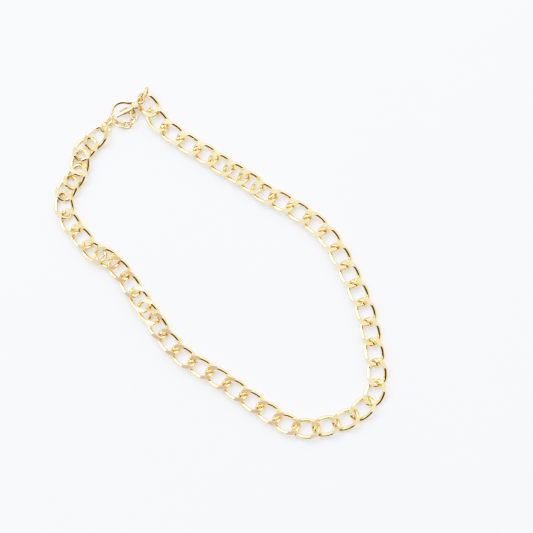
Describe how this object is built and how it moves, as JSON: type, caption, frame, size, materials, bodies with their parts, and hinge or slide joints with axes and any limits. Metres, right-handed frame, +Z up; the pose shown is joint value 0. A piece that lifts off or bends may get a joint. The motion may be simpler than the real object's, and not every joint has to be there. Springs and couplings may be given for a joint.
{
  "type": "chain necklace",
  "caption": "Gold-tone curb chain necklace lying in a loop, closed by a lobster clasp, with a short extender of small links at the clasp.",
  "frame": {"origin": "middle of the loop's bounding box, on the surface it lies on", "axes": "+X from the clasp end to the front of the loop, +Y towards the clasp's side of the chain, +Z up from the surface"},
  "size_m": [0.1668, 0.0861, 0.0069],
  "materials": {
    "curb_chain": "polished pale gold plating over brass, with planed facets",
    "fine_links": "polished pale gold plating on fine round wire",
    "clasp_metal": "polished cast clasp and jump ring, a slightly warmer gold plating",
    "spring_wire": "fine drawn spring wire"
  },
  "bodies": {
    "link_01": {"link_01": "curb_chain"},
    "link_02": {"link_02": "curb_chain"},
    "link_03": {"link_03": "curb_chain"},
    "link_04": {"link_04": "curb_chain"},
    "link_05": {"link_05": "curb_chain"},
    "link_06": {"link_06": "curb_chain"},
    "link_07": {"link_07": "curb_chain"},
    "link_08": {"link_08": "curb_chain"},
    "link_09": {"link_09": "curb_chain"},
    "link_10": {"link_10": "curb_chain"},
    "link_11": {"link_11": "curb_chain"},
    "link_12": {"link_12": "curb_chain"},
    "link_13": {"link_13": "curb_chain"},
    "link_14": {"link_14": "curb_chain"},
    "link_15": {"link_15": "curb_chain"},
    "link_16": {"link_16": "curb_chain"},
    "link_17": {"link_17": "curb_chain"},
    "link_18": {"link_18": "curb_chain"},
    "link_19": {"link_19": "curb_chain"},
    "link_20": {"link_20": "curb_chain"},
    "link_21": {"link_21": "curb_chain"},
    "link_22": {"link_22": "curb_chain"},
    "link_23": {"link_23": "curb_chain"},
    "link_24": {"link_24": "curb_chain"},
    "link_25": {"link_25": "curb_chain"},
    "link_26": {"link_26": "curb_chain"},
    "link_27": {"link_27": "curb_chain"},
    "link_28": {"link_28": "curb_chain"},
    "link_29": {"link_29": "curb_chain"},
    "link_30": {"link_30": "curb_chain"},
    "link_31": {"link_31": "curb_chain"},
    "link_32": {"link_32": "curb_chain"},
    "link_33": {"link_33": "curb_chain"},
    "link_34": {"link_34": "curb_chain"},
    "link_35": {"link_35": "curb_chain"},
    "link_36": {"link_36": "curb_chain"},
    "link_37": {"link_37": "curb_chain"},
    "link_38": {"link_38": "curb_chain"},
    "link_39": {"link_39": "curb_chain"},
    "link_40": {"link_40": "curb_chain"},
    "link_41": {"link_41": "curb_chain"},
    "link_42": {"link_42": "curb_chain"},
    "link_43": {"link_43": "curb_chain"},
    "link_44": {"link_44": "curb_chain"},
    "link_45": {"link_45": "curb_chain"},
    "link_46": {"link_46": "curb_chain"},
    "link_47": {"link_47": "curb_chain"},
    "link_48": {"link_48": "curb_chain"},
    "jump_ring": {"jump_ring": "clasp_metal"},
    "end_ring": {"end_ring": "fine_links"},
    "extender_link_1": {"extender_link_1": "fine_links"},
    "extender_link_2": {"extender_link_2": "fine_links"},
    "extender_link_3": {"extender_link_3": "fine_links"},
    "extender_link_4": {"extender_link_4": "fine_links"},
    "extender_link_5": {"extender_link_5": "fine_links"},
    "extender_link_6": {"extender_link_6": "fine_links"},
    "clasp": {"clasp_body": "clasp_metal", "clasp_rivet": "clasp_metal", "clasp_spring": "spring_wire"},
    "lever": {"clasp_lever": "clasp_metal"}
  },
  "joints": [
    {"name": "turn_23", "type": "hinge", "parent": "link_24", "child": "link_23", "pos_m": [0.07607, -0.0124, 0.00165], "axis": [0, 0, -1], "range_deg": [0, 12]},
    {"name": "turn_22", "type": "hinge", "parent": "link_23", "child": "link_22", "pos_m": [0.07872, -0.00461, 0.00165], "axis": [0, 0, -1], "range_deg": [0, 12]},
    {"name": "turn_21", "type": "hinge", "parent": "link_22", "child": "link_21", "pos_m": [0.07895, 0.00342, 0.00165], "axis": [0, 0, -1], "range_deg": [0, 12]},
    {"name": "turn_20", "type": "hinge", "parent": "link_21", "child": "link_20", "pos_m": [0.0758, 0.01068, 0.00165], "axis": [0, 0, -1], "range_deg": [0, 12]},
    {"name": "turn_19", "type": "hinge", "parent": "link_20", "child": "link_19", "pos_m": [0.06982, 0.01642, 0.00165], "axis": [0, 0, -1], "range_deg": [0, 12]},
    {"name": "lift_18", "type": "hinge", "parent": "link_19", "child": "link_18", "pos_m": [0.06295, 0.02134, 0.00165], "axis": [-0.5671, -0.8237, 0], "range_deg": [-25, 25]},
    {"name": "turn_17", "type": "hinge", "parent": "link_18", "child": "link_17", "pos_m": [0.05586, 0.0259, 0.00165], "axis": [0, 0, -1], "range_deg": [0, 12]},
    {"name": "lift_16", "type": "hinge", "parent": "link_17", "child": "link_16", "pos_m": [0.0484, 0.02976, 0.00165], "axis": [0.4014, 0.9159, 0], "range_deg": [-25, 25]},
    {"name": "turn_15", "type": "hinge", "parent": "link_16", "child": "link_15", "pos_m": [0.04058, 0.03282, 0.00165], "axis": [0, 0, -1], "range_deg": [0, 12]},
    {"name": "lift_14", "type": "hinge", "parent": "link_15", "child": "link_14", "pos_m": [0.03259, 0.03545, 0.00165], "axis": [-0.2961, -0.9552, 0], "range_deg": [-25, 25]},
    {"name": "turn_13", "type": "hinge", "parent": "link_14", "child": "link_13", "pos_m": [0.02444, 0.03765, 0.00165], "axis": [0, 0, -1], "range_deg": [0, 12]},
    {"name": "lift_12", "type": "hinge", "parent": "link_13", "child": "link_12", "pos_m": [0.01611, 0.03869, 0.00165], "axis": [0.0175, 0.9998, 0], "range_deg": [-25, 25]},
    {"name": "turn_11", "type": "hinge", "parent": "link_12", "child": "link_11", "pos_m": [0.00776, 0.03807, 0.00165], "axis": [0, 0, -1], "range_deg": [0, 12]},
    {"name": "lift_10", "type": "hinge", "parent": "link_11", "child": "link_10", "pos_m": [-0.00047, 0.03637, 0.00165], "axis": [0.2383, -0.9712, 0], "range_deg": [-25, 25]},
    {"name": "turn_09", "type": "hinge", "parent": "link_10", "child": "link_09", "pos_m": [-0.00839, 0.03402, 0.00165], "axis": [0, 0, -1], "range_deg": [0, 12]},
    {"name": "lift_08", "type": "hinge", "parent": "link_09", "child": "link_08", "pos_m": [-0.01578, 0.03221, 0.00165], "axis": [-0.1282, 0.9917, 0], "range_deg": [-25, 25]},
    {"name": "turn_07", "type": "hinge", "parent": "link_08", "child": "link_07", "pos_m": [-0.02278, 0.03094, 0.00165], "axis": [0, 0, -1], "range_deg": [0, 12]},
    {"name": "lift_06", "type": "hinge", "parent": "link_07", "child": "link_06", "pos_m": [-0.02977, 0.02923, 0.00165], "axis": [0.248, -0.9688, 0], "range_deg": [-25, 25]},
    {"name": "turn_05", "type": "hinge", "parent": "link_06", "child": "link_05", "pos_m": [-0.03709, 0.02751, 0.00165], "axis": [0, 0, -1], "range_deg": [0, 12]},
    {"name": "lift_04", "type": "hinge", "parent": "link_05", "child": "link_04", "pos_m": [-0.04495, 0.02564, 0.00165], "axis": [-0.2541, 0.9672, 0], "range_deg": [0, 25]},
    {"name": "turn_03", "type": "hinge", "parent": "link_04", "child": "link_03", "pos_m": [-0.05315, 0.02374, 0.00165], "axis": [0, 0, -1], "range_deg": [0, 12]},
    {"name": "lift_02", "type": "hinge", "parent": "link_03", "child": "link_02", "pos_m": [-0.06147, 0.02261, 0.00165], "axis": [-0.0736, 0.9973, 0], "range_deg": [0, 25]},
    {"name": "turn_01", "type": "hinge", "parent": "link_02", "child": "link_01", "pos_m": [-0.06933, 0.0232, 0.00165], "axis": [0, 0, -1], "range_deg": [0, 12]},
    {"name": "turn_25", "type": "hinge", "parent": "link_24", "child": "link_25", "pos_m": [0.07172, -0.01953, 0.00165], "axis": [0, 0, 1], "range_deg": [0, 12]},
    {"name": "turn_26", "type": "hinge", "parent": "link_25", "child": "link_26", "pos_m": [0.06563, -0.02506, 0.00165], "axis": [0, 0, 1], "range_deg": [0, 12]},
    {"name": "turn_27", "type": "hinge", "parent": "link_26", "child": "link_27", "pos_m": [0.05796, -0.02833, 0.00165], "axis": [0, 0, 1], "range_deg": [0, 12]},
    {"name": "turn_28", "type": "hinge", "parent": "link_27", "child": "link_28", "pos_m": [0.04976, -0.03021, 0.00165], "axis": [0, 0, 1], "range_deg": [0, 12]},
    {"name": "turn_29", "type": "hinge", "parent": "link_28", "child": "link_29", "pos_m": [0.0415, -0.03181, 0.00165], "axis": [0, 0, 1], "range_deg": [0, 12]},
    {"name": "lift_30", "type": "hinge", "parent": "link_29", "child": "link_30", "pos_m": [0.03325, -0.03343, 0.00165], "axis": [0.1979, -0.9802, 0], "range_deg": [-25, 25]},
    {"name": "turn_31", "type": "hinge", "parent": "link_30", "child": "link_31", "pos_m": [0.02507, -0.03541, 0.00165], "axis": [0, 0, 1], "range_deg": [0, 12]},
    {"name": "lift_32", "type": "hinge", "parent": "link_31", "child": "link_32", "pos_m": [0.01692, -0.03756, 0.00165], "axis": [-0.2362, 0.9717, 0], "range_deg": [-25, 25]},
    {"name": "turn_33", "type": "hinge", "parent": "link_32", "child": "link_33", "pos_m": [0.0086, -0.03861, 0.00165], "axis": [0, 0, 1], "range_deg": [0, 12]},
    {"name": "lift_34", "type": "hinge", "parent": "link_33", "child": "link_34", "pos_m": [0.00034, -0.03803, 0.00167], "axis": [-0.154, -0.9881, 0], "range_deg": [-25, 25]},
    {"name": "turn_35", "type": "hinge", "parent": "link_34", "child": "link_35", "pos_m": [-0.00696, -0.03685, 0.00202], "axis": [0, 0, 1], "range_deg": [0, 12]},
    {"name": "lift_36", "type": "hinge", "parent": "link_35", "child": "link_36", "pos_m": [-0.01344, -0.03574, 0.00216], "axis": [0.1701, 0.9854, 0], "range_deg": [-5, 25]},
    {"name": "turn_37", "type": "hinge", "parent": "link_36", "child": "link_37", "pos_m": [-0.02045, -0.03447, 0.00181], "axis": [0, 0, 1], "range_deg": [0, 12]},
    {"name": "lift_38", "type": "hinge", "parent": "link_37", "child": "link_38", "pos_m": [-0.02818, -0.03319, 0.00165], "axis": [-0.1398, -0.9902, 0], "range_deg": [-25, 25]},
    {"name": "turn_39", "type": "hinge", "parent": "link_38", "child": "link_39", "pos_m": [-0.03551, -0.03283, 0.00165], "axis": [0, 0, 1], "range_deg": [0, 12]},
    {"name": "lift_40", "type": "hinge", "parent": "link_39", "child": "link_40", "pos_m": [-0.04186, -0.03411, 0.00168], "axis": [-0.3463, 0.9381, 0], "range_deg": [-25, 0]},
    {"name": "turn_41", "type": "hinge", "parent": "link_40", "child": "link_41", "pos_m": [-0.04884, -0.03493, 0.00168], "axis": [0, 0, 1], "range_deg": [0, 12]},
    {"name": "lift_42", "type": "hinge", "parent": "link_41", "child": "link_42", "pos_m": [-0.05675, -0.03421, 0.00165], "axis": [0.113, 0.9936, 0], "range_deg": [-25, 0]},
    {"name": "turn_43", "type": "hinge", "parent": "link_42", "child": "link_43", "pos_m": [-0.06413, -0.03215, 0.00165], "axis": [0, 0, 1], "range_deg": [0, 12]},
    {"name": "lift_44", "type": "hinge", "parent": "link_43", "child": "link_44", "pos_m": [-0.06971, -0.02759, 0.00165], "axis": [0.8164, 0.5774, 0], "range_deg": [-25, 0]},
    {"name": "turn_45", "type": "hinge", "parent": "link_44", "child": "link_45", "pos_m": [-0.07235, -0.02171, 0.00167], "axis": [0, 0, 1], "range_deg": [0, 12]},
    {"name": "lift_46", "type": "hinge", "parent": "link_45", "child": "link_46", "pos_m": [-0.07437, -0.01599, 0.00178], "axis": [0.8865, 0.4627, 0], "range_deg": [-25, 0]},
    {"name": "turn_47", "type": "hinge", "parent": "link_46", "child": "link_47", "pos_m": [-0.0771, -0.01053, 0.00205], "axis": [0, 0, 1], "range_deg": [0, 12]},
    {"name": "lift_48", "type": "hinge", "parent": "link_47", "child": "link_48", "pos_m": [-0.07844, -0.00448, 0.00202], "axis": [0.9998, 0.0184, 0], "range_deg": [-6, 0]},
    {"name": "jump_ring_swing", "type": "hinge", "parent": "link_01", "child": "jump_ring", "pos_m": [-0.077, 0.02595, 0.00285], "axis": [0, 0, 1], "range_deg": [-8, 8]},
    {"name": "clasp_turn", "type": "hinge", "parent": "jump_ring", "child": "clasp", "pos_m": [-0.0761, 0.023, 0.00375], "axis": [0, 0, 1], "range_deg": [-15, 15]},
    {"name": "lever_press", "type": "hinge", "parent": "clasp", "child": "lever", "pos_m": [-0.07616, 0.01987, 0.00375], "axis": [0, 0, -1], "range_deg": [0, 16], "stiffness_Nm_per_rad": 0.0004, "springref_deg": -10},
    {"name": "end_ring_turn", "type": "hinge", "parent": "link_48", "child": "end_ring", "pos_m": [-0.0788, 0.0026, 0.0016], "axis": [0, 0, 1], "range_deg": [-8, 8]},
    {"name": "extender_turn_1", "type": "hinge", "parent": "end_ring", "child": "extender_link_1", "pos_m": [-0.0795, 0.00625, 0.00136], "axis": [0, 0, 1], "range_deg": [-8, 8]},
    {"name": "extender_turn_2", "type": "hinge", "parent": "extender_link_1", "child": "extender_link_2", "pos_m": [-0.0792, 0.0083, 0.00127], "axis": [0, 0, 1], "range_deg": [-8, 8]},
    {"name": "extender_turn_3", "type": "hinge", "parent": "extender_link_2", "child": "extender_link_3", "pos_m": [-0.07703, 0.00935, 0.00133], "axis": [0, 0, 1], "range_deg": [-10, 10]},
    {"name": "extender_turn_4", "type": "hinge", "parent": "extender_link_3", "child": "extender_link_4", "pos_m": [-0.07458, 0.0107, 0.00111], "axis": [0, 0, 1], "range_deg": [-10, 10]},
    {"name": "extender_turn_5", "type": "hinge", "parent": "extender_link_4", "child": "extender_link_5", "pos_m": [-0.07325, 0.01295, 0.00113], "axis": [0, 0, 1], "range_deg": [-10, 10]},
    {"name": "extender_turn_6", "type": "hinge", "parent": "extender_link_5", "child": "extender_link_6", "pos_m": [-0.07365, 0.0155, 0.00112], "axis": [0, 0, 1], "range_deg": [-10, 10]}
  ]
}
